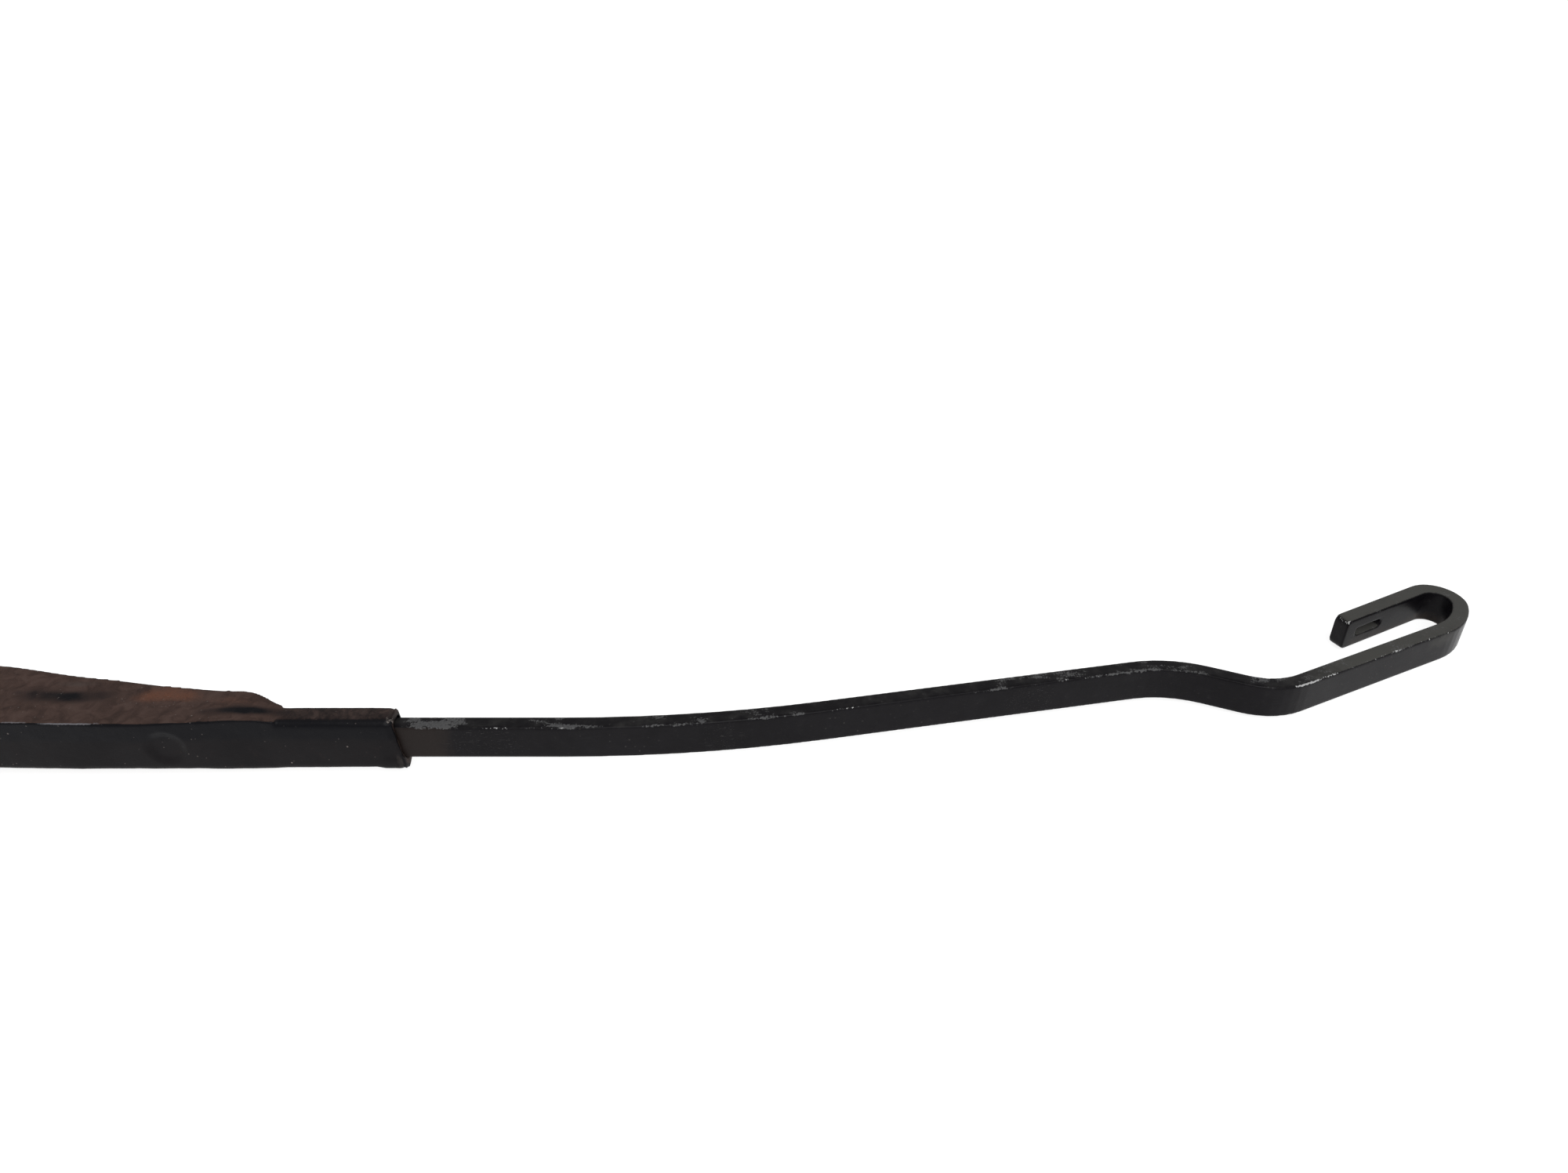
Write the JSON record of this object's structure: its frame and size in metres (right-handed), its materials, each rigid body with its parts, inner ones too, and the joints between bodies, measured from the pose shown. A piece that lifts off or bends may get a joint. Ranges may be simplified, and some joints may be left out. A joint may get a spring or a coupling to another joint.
{
  "type": "windscreen wiper arm",
  "caption": "Car windscreen wiper arm: cast head with spindle bore, sprung hinged channel and a flat bar ending in a U-hook for the blade.",
  "frame": {"origin": "on the spindle bore's axis, in the plane of the head's seat on the spindle", "axes": "+X along the arm from the spindle to the hook, +Y towards the glass (the way the spindle leaves the bore), +Z across the arm's width; the arm lies on its side"},
  "size_m": [0.4893, 0.0631, 0.024],
  "materials": {
    "bar_steel": "worn satin black, dusty at the hook",
    "channel_steel": "weathered black with rust on the flanges",
    "head_casting": "satin black paint on a die casting",
    "bare_steel": "dull zinc plate, lightly stained",
    "spring_steel": "oiled spring wire with light rust",
    "bush_plastic": "natural acetal",
    "cover_plastic": "fine-grained black plastic"
  },
  "bodies": {
    "head": {"mounting_head": "head_casting", "hinge_bush_upper": "bush_plastic", "hinge_bush_lower": "bush_plastic", "link_pin": "bare_steel"},
    "cover": {"nut_cover": "cover_plastic"},
    "arm": {"arm_channel": "channel_steel", "arm_bar": "bar_steel", "hinge_pin": "bare_steel"},
    "link": {"spring_link": "bare_steel"},
    "spring": {"tension_spring": "spring_steel"}
  },
  "joints": [
    {"name": "arm_hinge", "type": "hinge", "parent": "head", "child": "arm", "pos_m": [0.05, -0.011, 0], "axis": [0, 0, -1], "range_deg": [0, 75], "stiffness_Nm_per_rad": 0.8, "springref_deg": -28.65},
    {"name": "link_swing", "type": "hinge", "parent": "head", "child": "link", "pos_m": [0.0465, -0.00494, 0], "axis": [0, 0, -1], "range_deg": [0, 72]},
    {"name": "spring_stretch", "type": "slide", "parent": "link", "child": "spring", "axis": [0.9962, -0.0874, 0], "range_m": [0, 0.0033], "deforming": ["tension_spring"]},
    {"name": "cover_hinge", "type": "hinge", "parent": "head", "child": "cover", "pos_m": [-0.0148, -0.0206, 0], "axis": [0, 0, -1], "range_deg": [0, 100]}
  ],
  "couplings": [
    {"joint": "link_swing", "follows": "arm_hinge", "ratio": 0.926},
    {"joint": "spring_stretch", "follows": "arm_hinge", "m_per_rad": 0.0024}
  ]
}
